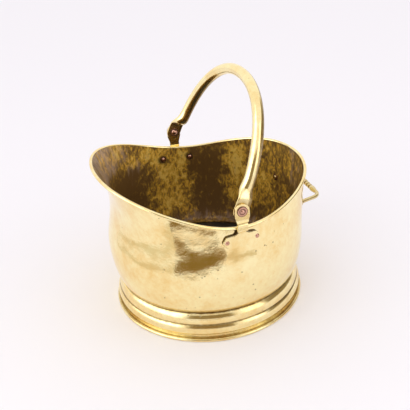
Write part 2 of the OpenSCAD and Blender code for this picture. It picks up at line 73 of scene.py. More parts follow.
class ScuttleSizes(bpy.types.PropertyGroup):
    """Sizes of what the pieces add to the frame."""

    round_steps: IntProperty(
        name="Steps round the body",
        description="Faces round the body and its foot",
        default=288,
        min=72,
        max=480,
    )
    planish_depth: length("Planishing depth", "How far the hammered wall sinks between its high spots", 0.34)
    planish_size: length("Planishing size", "Distance between the high spots of the hammered wall", 34.0)
    foot_dent: length("Foot dent depth", "How far the worn foot sinks between its high spots", 0.25)
    edge_round: length("Edge rounding", "Width of the worn edges of plates and tongues", 0.35)
    # The dark of the pinholes is painted shade and reflection in small dents
    pinhole_gap: length("Pinhole distance", "Distance between the dark pinholes in the sheet", 13.0)
    scratch_gap: length("Scratch distance", "Distance between the fine wiping scratches", 1.6)


class ScuttleColours(bpy.types.PropertyGroup):
    """Colours of the metals, their tarnish and the floor."""

    brass: colour("Polished brass", "Clean hand-polished brass", "#FEF0BA")
    brass_deep: colour("Deeper brass", "Brass with a thin film of tarnish", "#F0CB80")
    # Also painted dark reflection and shade in bands, at the joint of body and foot and behind the bail
    stain: colour("Brown stain", "Tarnish that stays in the creases of polished brass", "#7A5A26")
    # Also painted shade: in the pinholes and in the gaps along the upper edges of the bracket wings
    shade_and_grime: colour("Grime", "Old polish and dirt in corners and notches", "#4A3626")
    gold: colour("Worn gold", "Brass worn bright inside the body", "#F6CE62")
    ochre: colour("Ochre tarnish", "Thin tarnish inside the body", "#DCA838")
    olive: colour("Olive tarnish", "Even tarnish inside the body", "#93702C")
    umber: colour("Brown tarnish", "Darkest tarnish inside the body", "#684A20")
    ash: colour("Ash film", "Grey film of coal dust inside the body", "#B99C86")
    copper: colour("Copper", "Soft copper of rivets and roves", "#E2AE96")
    iron: colour("Iron", "Iron wire in the rolled edges", "#5B5650")
    rust: colour("Rust", "Rust on the iron wire", "#5A3A22")
    floor: colour("Floor", "Plain pale floor", "#FBF7F8")


# ---- The shape of the body, as in the frame, in millimetres and radians ----

SHEET = 1.0
BELLY = (123.5, 90.0)
WAIST = (112.0, 37.0)
WAIST_LEAN, WAIST_ROUND, BELLY_ROUND = math.radians(48), 8.5, 20.0
CURL_IN = 1.0
CURL_OUT = 2.0
CURL_END = math.radians(-100)
FLANGE_R = 103.0
RIM_R = (129.5, 119.0, 131.5, 2.8, 1.3)
RIM_Z = (170.0, 154.0, 200.0, 1.4, 2.2)
LEAN = (4.0, -5.0, 30.0)
PULL = (20.0, 20.0, 62.0)
RISE = (34.0, 24.0, 26.0)


def around(phi, back, side, spout, skew=0.0, full=0.0):
    """Value of a curve that runs round the body, where phi 0 is the back and pi the spout."""
    c = math.cos(phi)
    return (
        side
        + (back - spout) / 2 * c
        + ((back + spout) / 2 - side) * (1 + math.cos(2 * phi)) / 2
        + skew * (math.cos(3 * phi) - c)
        + full * (1 - math.cos(4 * phi))
    )


def rim_wire_at(phi):
    return Vector((around(phi, *RIM_R), around(phi, *RIM_Z) - CURL_OUT))


def rim_way(phi):
    lean = math.radians(around(phi, *LEAN))
    return Vector((math.sin(lean), math.cos(lean)))


def outward(way):
    return Vector((way.y, -way.x))


def low_curve():
    way = Vector((math.sin(WAIST_LEAN), math.cos(WAIST_LEAN)))
    start, end = Vector(WAIST), Vector(BELLY)
    return start, start + WAIST_ROUND * way, end - Vector((0, BELLY_ROUND)), end


def up_curve(phi):
    way = rim_way(phi)
    top = rim_wire_at(phi) - CURL_IN * outward(way)
    start = Vector(BELLY)
    return start, start + Vector((0, around(phi, *RISE))), top - around(phi, *PULL) * way, top


def wall_at(phi, t, off=0.0):
    """Point (radius, height) of the wall: t is 0 at the foot, 1 at the widest line and 2 under the rim."""
    a, b, c, d = low_curve() if t < 1 else up_curve(phi)
    s = t if t < 1 else t - 1
    u = 1 - s
    point = u * u * u * a + 3 * u * u * s * b + 3 * u * s * s * c + s * s * s * d
    way = (u * u * (b - a) + 2 * u * s * (c - b) + s * s * (d - c)).normalized()
    return point + off * outward(way), way


def wall_height(phi, z):
    """The place t of a height on the upper wall."""
    low, high = 1.0, 2.0
    for _ in range(24):
        t = (low + high) / 2
        if wall_at(phi, t)[0].y < z:
            low = t
        else:
            high = t
    return t


def place(phi, point):
    return Vector((point.x * math.sin(phi), point.x * math.cos(phi), point.y))


def smooth(s):
    c = min(max(s, 0.0), 1.0)
    return c * c * (3 - 2 * c)


def sunk(point, size, depth):
    """How far hand work has sunk the sheet at a point, from 0 to the depth."""
    wide = noise.noise(point / size)
    fine = noise.noise(point / (0.36 * size) + Vector((7.1, 3.3, 9.7)))
    return depth * min(max(0.5 + 0.62 * wide + 0.2 * fine, 0.0), 1.0)


# ---- Helpers for meshes ----


def finished(bm, name, body, materials, replaced, sharp=38):
    """Makes a bmesh in millimetres a smooth piece in metres that rides on a body and replaces nodes."""
    bmesh.ops.remove_doubles(bm, verts=bm.verts, dist=0.002)
    bmesh.ops.scale(bm, verts=bm.verts, vec=(MM, MM, MM))
    mesh = bpy.data.meshes.new(name)
    bm.to_mesh(mesh)
    bm.free()
    for face in mesh.polygons:
        face.use_smooth = True
    mesh.set_sharp_from_angle(angle=math.radians(sharp))
    for material in materials:
        mesh.materials.append(material)
    piece = bpy.data.objects.new(name, mesh)
    bpy.context.scene.collection.objects.link(piece)
    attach(piece, body)
    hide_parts(*replaced)


SPIN_R = 100.0


def on_circle(turn):
    return Vector((math.cos(turn), math.sin(turn)))


def spun_section(count, steps, axis=(0, 0, 1), angle=math.tau, whole=True):
    """Spins a ring of numbered points; the caller moves them by their number and step."""
    bm = bmesh.new()
    number = bm.verts.layers.int.new("number")
    start = []
    for i in range(count):
        across, up = on_circle(math.tau * i / count)
        start.append(bm.verts.new((0, SPIN_R + across, up)))
        start[i][number] = i
    edges = [bm.edges.new((start[i], start[(i + 1) % count])) for i in range(count)]
    bmesh.ops.spin(
        bm,
        geom=start + edges,
        cent=(0, 0, 0),
        axis=axis,
        angle=angle,
        steps=steps,
        use_merge=whole,
    )
    return bm, number


def bar_place(vert, number, count, steps):
    """Angle round the section, and step along the bar, of a point of a section spun half a turn round X."""
    corner = math.tau * number / count
    across, up = SPIN_R + math.cos(corner), math.sin(corner)
    turn = math.atan2(vert.co.z * across - vert.co.y * up, vert.co.y * across + vert.co.z * up)
    return corner, round((turn if turn > -1e-3 else turn + math.tau) / math.pi * steps)


def closed(bm):
    """Fills both ends of a bar and turns its faces outwards."""
    bmesh.ops.holes_fill(bm, edges=[e for e in bm.edges if e.is_boundary], sides=0)
    outwards(bm)


def outwards(bm):
    bmesh.ops.recalc_face_normals(bm, faces=bm.faces)


# ---- Helpers for materials ----

MODES = {"Mix": "data_type", "MapRange": "interpolation_type"}


def add(tree, kind, *values, stops=(), **settings):
    """Adds a node and gives its first live output.

    A second word in the kind is the node's mode. The values, which may be sockets, fill the live inputs
    in their order, or a dictionary names the inputs. The stops are those of a colour ramp.
    """
    kind, _, mode = kind.partition(" ")
    made = tree.nodes.new(f"ShaderNode{kind}")
    if mode:
        setattr(made, MODES.get(kind, "operation"), mode)
    for key, value in settings.items():
        setattr(made, key, value)
    if values and isinstance(values[0], dict):
        pairs = [(made.inputs[key], value) for key, value in values[0].items()]
    else:
        pairs = zip([socket for socket in made.inputs if socket.enabled], values)
    for socket, value in pairs:
        if isinstance(value, bpy.types.NodeSocket):
            tree.links.new(value, socket)
        elif socket.type == "RGBA":
            socket.default_value = (*value, 1.0)
        else:
            socket.default_value = value
    for i, (at, tone) in enumerate(stops):
        element = made.color_ramp.elements[i] if i < 2 else made.color_ramp.elements.new(at)
        element.position, element.color = at, (*tone, 1.0)
    return next((socket for socket in made.outputs if socket.enabled), None)


def new_material(name):
    """An empty material, its nodes and the place of each point on the piece."""
    material = bpy.data.materials.new(name)
    material.use_nodes = True
    tree = material.node_tree
    tree.nodes.clear()
    return material, tree, add(tree, "TexCoord").node.outputs["Object"]


def surface(tree, inputs):
    """Ends a material with what its surface is like."""
    add(tree, "OutputMaterial", add(tree, "BsdfPrincipled", inputs))


def relief(tree, *layers):
    """Normal of a surface with layers of relief, as (height, strength, depth in millimetres, pressed in)."""
    under = {}
    for height, strength, depth, pressed in layers:
        inputs = {"Height": height, "Strength": strength, "Distance": depth * MM}
        under = {"Normal": add(tree, "Bump", inputs | under, invert=pressed)}
    return under["Normal"]


def per_metre(millimetres):
    """Scale of a pattern that repeats at this distance."""
    return 1000.0 / millimetres


def darker(tone, share):
    return [part * share for part in tone]


def either(tree, masks):
    """The strongest of several masks."""
    total = masks[0]
    for mask in masks[1:]:
        total = add(tree, "Math MAXIMUM", total, mask)
    return total


def spots(tree, where, gap, low, high, wobble):
    """Mask of small spots, one to each gap in millimetres, from their share of the gap."""
    push = add(tree, "TexNoise", where, per_metre(gap * 0.5), 3.0).node.outputs["Color"]
    where = add(tree, "VectorMath MULTIPLY_ADD", push, (wobble * MM,) * 3, where)
    return add(tree, "MapRange SMOOTHSTEP", add(tree, "TexVoronoi", where, per_metre(gap)), high, low)


def near(tree, where, centre, low, high, most=1.0):
    """Mask that is at its most within a distance of a point and falls to 0, in millimetres."""
    far = add(tree, "VectorMath DISTANCE", where, darker(centre, MM))
    return add(tree, "MapRange SMOOTHSTEP", far, high * MM, low * MM, 0.0, most)


def shaken(tree, where, gap, reach):
    """Coordinates pushed about by a noise, so that the edge of a mask turns ragged, in millimetres."""
    push = add(tree, "TexNoise", where, per_metre(gap), 5.0, 0.7).node.outputs["Color"]
    low = add(tree, "VectorMath SUBTRACT", where, (reach * MM,) * 3)
    return add(tree, "VectorMath MULTIPLY_ADD", push, (2 * reach * MM,) * 3, low)


def polished_brass(name, shade_and_grime_at=(), tarnish_at=(), bands=(), haze=0.0, flecked=0.0):
    """Brass polished by hand: a bright warm mirror with soft waves from the hammer and fine scratches.

    Pinholes and grime give it dark specks and corners; their darkness is partly painted shade and reflection
    in small dents and painted shade in the gaps along the bracket wings. Tarnish gives it brown places and
    bands, and some bands are painted dark reflection and shade at the joint with the foot and behind the
    bail.
    """
    sizes, tones = bpy.context.scene.scuttle_sizes, bpy.context.scene.scuttle_colours
    material, tree, where = new_material(name)
    parts = add(tree, "SeparateXYZ", where).node.outputs
    folded = add(tree, "CombineXYZ", add(tree, "Math ABSOLUTE", parts["X"]), parts["Y"], parts["Z"])
    film = add(tree, "TexNoise", where, per_metre(46), 6.0, 0.62)
    mottle = add(tree, "TexNoise", where, per_metre(7), 6.0, 0.7)
    share = add(tree, "Math MULTIPLY_ADD", mottle, 1.3, -0.5)
    filmed = add(tree, "MapRange", film, 0.42, 0.72)
    share = add(tree, "Math MULTIPLY_ADD", filmed, 0.7, share, use_clamp=True)
    base = add(tree, "Mix RGBA", share, tones.brass, tones.brass_deep)
    thin = add(tree, "MapRange", add(tree, "TexNoise", where, per_metre(60)), 0.45, 0.6)
    if flecked:
        dense = near(tree, folded, FLECKED, 20, 70)
        thin = add(tree, "Math MULTIPLY_ADD", dense, flecked, thin, use_clamp=True)
    # Pinholes: small pits pressed into the sheet, darkened with painted shade and reflection
    shaded_pits = spots(tree, where, sizes.pinhole_gap / MM, 0.035, 0.085, 1.5)
    shaded_pits = add(tree, "Math MULTIPLY", shaded_pits, thin)
    ragged = shaken(tree, folded, 3, 0.9)
    shade_and_dirt = [near(tree, ragged, *spot) for spot in shade_and_grime_at]
    shade_and_dirt = either(tree, [add(tree, "Math MULTIPLY", shaded_pits, 0.85), *shade_and_dirt])
    stains = [near(tree, shaken(tree, folded, 9, 2.2), *spot) for spot in tarnish_at]
    # Bands of stain: tarnish in grooves, and some painted reflection and shade
    for axis, at, half, strength in bands:
        along = add(tree, "VectorMath DOT_PRODUCT", ragged, axis)
        far = add(tree, "Math ABSOLUTE", add(tree, "Math SUBTRACT", along, at * MM))
        line = add(tree, "MapRange SMOOTHSTEP", far, half * MM, 0.3 * half * MM, 0.0, strength)
        patchy = add(tree, "Math MULTIPLY_ADD", mottle, 1.2, 0.4)
        stains.append(add(tree, "Math MULTIPLY", line, patchy, use_clamp=True))
    rough = add(tree, "Math MULTIPLY_ADD", film, 0.1, 0.035 + haze)
    if stains:
        stain = either(tree, stains)
        base = add(tree, "Mix RGBA", stain, base, tones.stain)
        rough = add(tree, "Math MULTIPLY_ADD", stain, 0.2, rough)
    wiped = add(tree, "Mapping", {"Vector": where, "Scale": (1.0, 1.0, 7.0)}, vector_type="TEXTURE")
    scratches = add(tree, "TexNoise", wiped, per_metre(sizes.scratch_gap / MM), 3.0, 0.7)
    waves = add(tree, "TexNoise", where, per_metre(11), 5.0, 0.62)
    layers = (scratches, 0.05, 0.05, False), (waves, 0.5, 0.2, False), (shaded_pits, 0.6, 0.2, True)
    surface(
        tree,
        {
            "Base Color": add(tree, "Mix RGBA", shade_and_dirt, base, tones.shade_and_grime),
            "Metallic": 1.0,
            "Roughness": add(tree, "Math MULTIPLY_ADD", shade_and_dirt, 0.3, rough),
            "Normal": relief(tree, *layers),
        },
    )
    return material


# Zones inside the body, as (middle from the back, half width and softness in degrees, lowest, highest,
# strength). First where the tarnish is worn to bright flecks, also painted light where light falls
WORN_AND_LIT = (
    (-91, 17, 5, 150, 156, 1.0),
    (-92, 13, 7, 52, 150, 0.85),
    (-103, 9, 8, 86, 124, 0.45),
    (-135, 18, 10, 160, 190, 0.62),
    (-114, 12, 6, 140, 160, 0.75),
    (-49, 7, 5, 60, 152, 0.9),
    (-27, 9, 7, 60, 165, 0.62),
    (-12, 7, 6, 60, 160, 0.4),
    (84, 22, 12, 60, 150, 0.6),
    (150, 16, 12, 90, 180, 0.5),
)
# Where it is darkest: painted shadow, such as that of the near rim
SHADED = ((-126, 18, 8, 60, 132, 1.0), (-68, 12, 6, 50, 150, 0.6), (105, 16, 8, 50, 120, 0.7))
# Where coal dust lies on it
DUSTY = (
    (-148, 24, 14, 150, 200, 0.85),
    (-118, 9, 8, 130, 150, 0.5),
    (2, 8, 5, 120, 175, 0.6),
    (-75, 70, 20, 38, 46, 0.8),
    (120, 60, 20, 38, 60, 0.7),
)
ZONE_SOFT = 9
# Grime round the roves inside, on both sides
ROVES_AT = ((119, -15.5, 137), (119, 22, 138.5))


def sector(tree, where, middle, half, soft, low, high, strength):
    """Mask of a zone inside the body, with a ragged edge."""
    parts = add(tree, "SeparateXYZ", where).node.outputs
    turn = add(tree, "Math ARCTAN2", parts["X"], parts["Y"])
    turn = add(tree, "Math SUBTRACT", turn, math.radians(middle) + 0.25)
    push = add(tree, "TexNoise", where, per_metre(16), 4.0)
    far = add(tree, "Math ABSOLUTE", add(tree, "Math MULTIPLY_ADD", push, 0.5, turn))
    mask = strength
    for value, start, end in (
        (far, math.radians(half + soft), math.radians(half - soft)),
        (parts["Z"], (low - ZONE_SOFT) * MM, (low + ZONE_SOFT) * MM),
        (parts["Z"], (high + ZONE_SOFT) * MM, (high - ZONE_SOFT) * MM),
    ):
        mask = add(tree, "Math MULTIPLY", add(tree, "MapRange SMOOTHSTEP", value, start, end), mask)
    return mask


def tarnished_brass(name):
    """Brass never cleaned inside: brown and olive tarnish, worn to gold flecks, dulled by coal dust.

    Some bright zones are painted light, and the darkest zones painted shadow.
    """
    tones = bpy.context.scene.scuttle_colours
    material, tree, where = new_material(name)
    drips = add(tree, "Mapping", {"Vector": where, "Scale": (1.0, 1.0, 1.7)}, vector_type="TEXTURE")
    grain = {"Vector": drips, "Roughness": 0.66}
    clouds, flecks = (
        add(tree, "TexNoise", grain | {"Scale": per_metre(gap), "Detail": fine, "Distortion": twist})
        for gap, fine, twist in ((26, 7.0, 0.4), (4.6, 5.0, 0.6))
    )
    level = add(tree, "Math MULTIPLY_ADD", clouds, 0.6, flecks)
    # Worn zones raise the level, partly as painted light; shaded zones lower it as painted shadow
    for zones, effect in ((WORN_AND_LIT, 0.23), (SHADED, -0.16)):
        mask = either(tree, [sector(tree, where, *zone) for zone in zones])
        level = add(tree, "Math MULTIPLY_ADD", mask, effect, level)
    base = add(
        tree,
        "ValToRGB",
        add(tree, "Math SUBTRACT", level, 0.4),
        stops=[(0.35, tones.umber), (0.47, tones.olive), (0.58, tones.ochre), (0.7, tones.gold)],
    )
    specks = spots(tree, where, 6.4, 0.14, 0.36, 3.2)
    specks = add(tree, "Math MULTIPLY", specks, add(tree, "MapRange", clouds, 0.42, 0.6))
    base = add(tree, "Mix RGBA", add(tree, "Math MULTIPLY", specks, 0.35), base, darker(tones.umber, 0.5))
    strands = add(tree, "Mapping", {"Vector": where, "Scale": (1.0, 1.0, 5.0)}, vector_type="TEXTURE")
    film = add(tree, "TexNoise", strands, per_metre(9), 6.0, 0.66)
    dusty = either(tree, [sector(tree, where, *zone) for zone in DUSTY])
    ash = add(tree, "MapRange", add(tree, "Math MULTIPLY_ADD", dusty, 0.36, film), 0.64, 0.92)
    base = add(tree, "Mix RGBA", add(tree, "Math MULTIPLY", ash, 0.7), base, tones.ash)
    rings = [near(tree, where, (side * x, y, z), 4.6, 8.4, 0.8) for side in (-1, 1) for x, y, z in ROVES_AT]
    gleam = add(tree, "MapRange", level, 0.86, 1.12, 0.05, 0.25)
    surface(
        tree,
        {
            "Base Color": add(tree, "Mix RGBA", either(tree, rings), base, darker(tones.umber, 0.35)),
            "Metallic": gleam,
            "Roughness": add(tree, "Math MULTIPLY_ADD", gleam, -0.25, 0.52),
            "Normal": relief(tree, (flecks, 0.7, 0.5, False), (clouds, 0.5, 1.2, False)),
        },
    )
    return material


def peened_copper(name, darkness, rings=()):
    """Soft copper closed with a hammer: pink metal with small flats, browned in rings by old polish."""
    tones = bpy.context.scene.scuttle_colours
    material, tree, where = new_material(name)
    flats = add(tree, "TexVoronoi", where, per_metre(1.5))
    film = add(tree, "MapRange", add(tree, "TexNoise", where, per_metre(2.4), 5.0, 0.7), 0.35, 0.75)
    mask = add(tree, "Math MULTIPLY_ADD", film, 0.6, darkness, use_clamp=True)
    for centre, radius, width in rings:
        inner, outer = (near(tree, where, centre, end - width, end) for end in (radius, radius + width))
        mask = add(tree, "Math MAXIMUM", mask, add(tree, "Math SUBTRACT", outer, inner))
    surface(
        tree,
        {
            "Base Color": add(tree, "Mix RGBA", mask, tones.copper, darker(tones.copper, 0.22)),
            "Metallic": 1.0,
            "Roughness": add(tree, "Math MULTIPLY_ADD", mask, 0.25, 0.2),
            "Normal": relief(tree, (flats, 0.5, 0.15, False)),
        },
    )
    return material


def iron_wire(name):
    """Drawn iron wire: dull grey with brown rust."""
    tones = bpy.context.scene.scuttle_colours
    material, tree, where = new_material(name)
    rust = add(tree, "TexNoise", where, per_metre(3), 5.0, 0.7)
    mask = add(tree, "MapRange", rust, 0.4, 0.7)
    surface(
        tree,
        {
            "Base Color": add(tree, "Mix RGBA", mask, tones.iron, tones.rust),
            "Metallic": 0.8,
            "Roughness": add(tree, "Math MULTIPLY_ADD", mask, 0.35, 0.4),
            "Normal": relief(tree, (rust, 0.4, 0.1, False)),
        },
    )
    return material


# Tones of the plate under the coal, from almost black to brown, the darkness painted shade of the floor
# inside, as (place in the ramp, linear colour)
PLATE_TONES = ((0.3, (0.022, 0.02, 0.017)), (0.55, (0.06, 0.052, 0.036)), (0.75, (0.14, 0.105, 0.055)))


def dull_brass(name):
    """Rolled brass plate under the coal: almost black-brown, painted shade, with scraped marks and dust."""
    tones = bpy.context.scene.scuttle_colours
    material, tree, where = new_material(name)
    clouds = add(tree, "TexNoise", where, per_metre(30), 7.0, 0.68)
    grain = {"Vector": where, "Scale": (9.0, 1.0, 1.0), "Rotation": (0, 0, 0.5)}
    scrapes = add(tree, "TexNoise", add(tree, "Mapping", grain, vector_type="TEXTURE"), per_metre(3), 4.0)
    marks = add(tree, "MapRange", scrapes, 0.62, 0.7, 0.0, 0.35)
    base = add(tree, "ValToRGB", clouds, stops=PLATE_TONES)
    surface(
        tree,
        {
            "Base Color": add(tree, "Mix RGBA", marks, base, tones.ochre),
            "Metallic": 0.6,
            "Roughness": add(tree, "Math MULTIPLY_ADD", clouds, 0.3, 0.35),
            "Normal": relief(tree, (clouds, 0.5, 0.6, False)),
        },
    )
    return material


# ---- Pieces ----

LOW_STEPS, UP_STEPS, CURL_STEPS = 16, 34, 22
OUTER = [i / LOW_STEPS for i in range(1, LOW_STEPS)] + [1 + i / UP_STEPS for i in range(UP_STEPS + 1)]
SECTION = (
    [("flange", (FLANGE_R, WAIST[1] + SHEET)), ("flange", (FLANGE_R, WAIST[1])), ("flange", WAIST)]
    + [("outer", t) for t in OUTER]
    + [("hidden roll", i / CURL_STEPS) for i in range(1, CURL_STEPS + 1)]
    + [("roll", i / CURL_STEPS) for i in range(CURL_STEPS, 0, -1)]
    + [("inner", t) for t in reversed(OUTER)]
    + [("flange", (WAIST[0] - SHEET, WAIST[1] + SHEET))]
)


def body_point(zone, value, phi):
    """Point (radius, height) of the body's section at an angle round it."""
    if zone == "flange":
        return Vector(value)
    if zone in ("outer", "inner"):
        return wall_at(phi, value, 0.0 if zone == "outer" else -SHEET)[0]
    out = outward(rim_way(phi))
    turn = math.atan2(out.y, out.x) + math.pi + value * (CURL_END - math.pi)
    radius = CURL_IN if zone == "hidden roll" else CURL_OUT
    return rim_wire_at(phi) + radius * on_circle(turn)


def sinking(zone, value):
    """Share of the hand work's depth that a point of the section takes: none at the waist and the rim."""
    if zone in ("outer", "inner"):
        return smooth(value / 0.25) * smooth((2.0 - value) / 0.12)
    return 0.0


UPWARDS = (0, 0, 1)
# Middle of the part of the wall, on each side, where pinholes, darkened with painted shade, are dense
FLECKED = (118, -30, 110)
# Single dark flecks in the wall: painted shade and reflection in small dents
FLECKS = (
    (115, -45, 95),
    (116, -42, 97),
    (120, -27, 104),
    (91.5, -82.6, 103),
    (103.5, -67.4, 100),
    (123.4, 1, 95),
    (120, 20.6, 116.5),
    (116.7, 33.3, 119),
    (113, 45, 118),
)


class SCUTTLE_OT_body(bpy.types.Operator):
    """Raise the body from one sheet, with its spout, flange and rolled rim"""

    bl_idname = "scuttle.body"
    bl_label = "Body"

    def execute(self, context):
        sizes = context.scene.scuttle_sizes
        bm, number = spun_section(len(SECTION), sizes.round_steps)
        for vert in bm.verts:
            zone, value = SECTION[vert[number]]
            phi = math.atan2(vert.co.x, vert.co.y)
            point = body_point(zone, value, phi)
            share = sinking(zone, value)
            if share:
                wall, way = wall_at(phi, value)
                depth = sunk(place(phi, wall), sizes.planish_size / MM, sizes.planish_depth / MM)
                point = point - share * depth * outward(way)
            vert.co = place(phi, point)
        outwards(bm)
        for face in bm.faces:
            zones = {SECTION[v[number]][0] for v in face.verts}
            inside = "inner" in zones and "roll" not in zones
            face.material_index = 1 if inside or zones == {"flange"} else 0
        # Painted shade along the wings' upper edges and in small dents, together with old polish
        shade_and_grime = wing_edge_shade_and_grime(1.0) + [(at, 0.3, 1.3, 0.85) for at in FLECKS]
        # Brown band above the foot: painted reflection of the foot's moulding and painted shade over the
        # joint
        junction_shade_band = (UPWARDS, WAIST[1], 6.5, 0.75)
        outside = polished_brass("raised_and_polished_brass", shade_and_grime_at=shade_and_grime, bands=[junction_shade_band], flecked=0.8)
        inside = tarnished_brass("uncleaned_brass")
        finished(bm, "body", "scuttle", [outside, inside], ["body_shell"])
        return {"FINISHED"}


FOOT = {"r": 121.5, "h": 37.0, "sheet": 1.0, "wire": 1.1, "worn": 1.6, "upper_out": 2.0, "lower_out": 2.0}
NECK_IN, GROOVE_IN, GROOVE_FALL, FLARE_FALL, FLARE_GAP = 0.5, 5.5, 15.0, 13.0, 0.4
# Dents of the worn foot: their distance, the radius they are drawn at and how far they are stretched upwards
DENT_SIZE, DENT_R, DENT_RISE = 26, 115, 0.6
# Heights of dark lines on the foot, as (axis, at, half width, strength): the top one, at the joint with
# the body, is painted reflection and shade; the others are tarnish left in the grooves
FOOT_LINES = (
    (UPWARDS, FOOT["h"], 2.6, 0.95),
    (UPWARDS, FOOT["h"] - GROOVE_FALL, 1.5, 0.8),
    (UPWARDS, 4.5, 1.6, 0.5),
)


def foot_line():
    """Middle line of the foot's sheet as (radius, height), from its flange to the rolled edge."""
    half = FOOT["sheet"] / 2
    curl = FOOT["wire"] + FOOT["sheet"]
    wire_at = Vector((FOOT["r"] - curl, math.sqrt(curl * curl - (FOOT["worn"] / 2) ** 2)))
    neck = Vector((WAIST[0] - NECK_IN - half, FOOT["h"] - FOOT["sheet"]))
    groove = Vector((FOOT["r"] - GROOVE_IN - half, FOOT["h"] - GROOVE_FALL))
    flare = Vector((wire_at.x - FOOT["wire"] - half - FLARE_GAP, groove.y - FLARE_FALL))
    points = [Vector((FLANGE_R, FOOT["h"] - half)), Vector((neck.x - half, FOOT["h"] - half)), neck]
    upper, lower = (neck, groove, FOOT["upper_out"], 22), (groove, flare, FOOT["lower_out"], 20)
    for start, end, out, steps in (upper, lower):
        side = outward((start - end).normalized())
        for i in range(1, steps + 1):
            t = i / steps
            points.append(start.lerp(end, t) + 4 * t * (1 - t) * out * side)
    for angle in range(180, 493, 12):
        points.append(wire_at + (FOOT["wire"] + half) * on_circle(math.radians(angle)))
    return points


def foot_section():
    """Outline of the foot's sheet, down its outer side and back up its inner side."""
    line = foot_line()
    outer, inner = [], []
    for i, point in enumerate(line):
        way = (line[min(i + 1, len(line) - 1)] - line[max(i - 1, 0)]).normalized()
        outer.append(point + FOOT["sheet"] / 2 * outward(way))
        inner.append(point - FOOT["sheet"] / 2 * outward(way))
    return outer + inner[::-1]


class SCUTTLE_OT_foot(bpy.types.Operator):
    """Spin the foot ring with its two swelled mouldings and worn rolled edge"""

    bl_idname = "scuttle.foot"
    bl_label = "Foot ring"

    def execute(self, context):
        sizes = context.scene.scuttle_sizes
        section = foot_section()
        bm, number = spun_section(len(section), sizes.round_steps)
        for vert in bm.verts:
            point = section[vert[number]].copy()
            phi = math.atan2(vert.co.x, vert.co.y)
            share = smooth((FOOT["h"] - 3 - point.y) / 6) * smooth((point.x - FLANGE_R - 4) / 4)
            at = place(phi, Vector((DENT_R, point.y * DENT_RISE)))
            point.x -= share * sunk(at, DENT_SIZE, sizes.foot_dent / MM)
            point.y = min(max(point.y, 0.0), FOOT["h"])
            vert.co = place(phi, point)
        outwards(bm)
        finish = polished_brass("spun_and_polished_brass", bands=FOOT_LINES, haze=0.07)
        finished(bm, "foot", "scuttle", [finish], ["foot_ring"])
        return {"FINISHED"}


PIVOT = Vector((0.0, 4.5, 174.5))
EAR_R, NECK_HALF, NECK_TOP, NECK_FOOT = 8.9, 6.3, -7.1, -15.4
WING_Z, WING_TILT, WING_ROUND = 148.33, math.radians(-3), 4.1
WING_LINE = (
    (14.6, -4.3),
    (18.6, -5.0),
    (20.6, -6.8),
    (23.3, -11.6),
    (23.0, -13.4),
    (18.0, -19.1),
    (16.4, -19.5),
)
EAR_IN, PLATE, PLATE_GAP = 121.28, 2.4, 0.1
WALL_R, WALL_TOP = 121.0, 149.5
BEND_UNDER, BEND_H = 3.2, 4.0
RIDGES, RIDGE_HALF, RIDGE_UP = (156.8, 160.7), 1.4, 0.95
BETWEEN_RIDGES = 158.7


def bracket_outline():
    """Outline of the flat bracket as (along, height) from its pivot, before it is bent."""
    wing = WING_Z - PIVOT.z
    left = [tuple(EAR_R * on_circle(math.radians(d))) for d in range(0, 181, 10)]
    left += [(-EAR_R, NECK_TOP), (-NECK_HALF, NECK_FOOT), (-NECK_HALF, wing)]
    right = [(NECK_HALF, wing)]
    low = []
    for d in range(0, 97, 12):
        x, y = WING_ROUND * on_circle(math.radians(d))
        low.append((NECK_HALF + WING_ROUND - x, -y))
    low += WING_LINE
    sine, cosine = math.sin(WING_TILT), math.cos(WING_TILT)
    for side, group in ((-1, left), (1, right)):
        for x, y in low:
            group.append((side * x * cosine - y * sine, wing + side * x * sine + y * cosine))
    return left + right[::-1] + [(NECK_HALF, NECK_FOOT), (EAR_R, NECK_TOP)]


def bent(along, height, depth, side):
    """Place of a point of the flat bracket after it is bent round the rim and against the wall."""
    y, z = PIVOT.y + along, PIVOT.z + height
    angle = math.pi / 2 - math.asin(min(max(y / WALL_R, -1), 1))
    point, way = wall_at(angle, wall_height(angle, min(z, WALL_TOP)), PLATE_GAP)
    normal = place(angle, outward(way)).normalized()
    lifted = smooth((z - (WING_Z - BEND_UNDER)) / BEND_H)
    if depth > 0.5 * PLATE:
        depth += sum(RIDGE_UP * max(0.0, 1 - ((z - at) / RIDGE_HALF) ** 2) for at in RIDGES)
    made = place(angle, point).lerp(Vector((EAR_IN, y, z)), lifted)
    made += depth * normal.lerp(Vector((1, 0, 0)), lifted).normalized()
    return Vector((side * made.x, made.y, made.z))


def wing_edge_shade_and_grime(share):
    """Painted gap shade and old polish on the wings' upper edges, as (place, dark within, gone at, strength).
    """
    wing = WING_Z - PIVOT.z
    line = [p for p in bracket_outline() if abs(p[0]) > NECK_HALF + 0.1 and wing - 12.5 < p[1] < wing + 1.5]
    found = []
    for side in (-1, 1):
        group = sorted((p for p in line if side * p[0] > 0), key=lambda p: abs(p[0]))
        for here, after in zip(group, group[1:] + group[-1:]):
            for s in (0.0, 0.34, 0.67) if math.dist(here, after) > 3 else (0.0,):
                along, height = Vector(here).lerp(Vector(after), s)
                at = bent(along, height, PLATE / 2, 1)
                reach = 2.9 - 0.055 * abs(along)
                if not found or math.dist(at, found[-1][0]) >= 1.2:
                    found.append((at, 0.4 * reach, reach, share))
    return found


def cut_through(bm, normal, low, high, step):
    """Cuts a mesh by planes at even distances, so that it can be bent."""
    at = low
    while at < high:
        parts = bm.verts[:] + bm.edges[:] + bm.faces[:]
        bmesh.ops.bisect_plane(bm, geom=parts, dist=1e-4, plane_co=[at * n for n in normal], plane_no=normal)
        at += step


def bevelled(bm, edges, offset, segments):
    bmesh.ops.bevel(
        bm,
        geom=list(edges),
        offset=offset,
        segments=segments,
        profile=0.5,
        affect="EDGES",
        material=-1,
        clamp_overlap=True,
    )


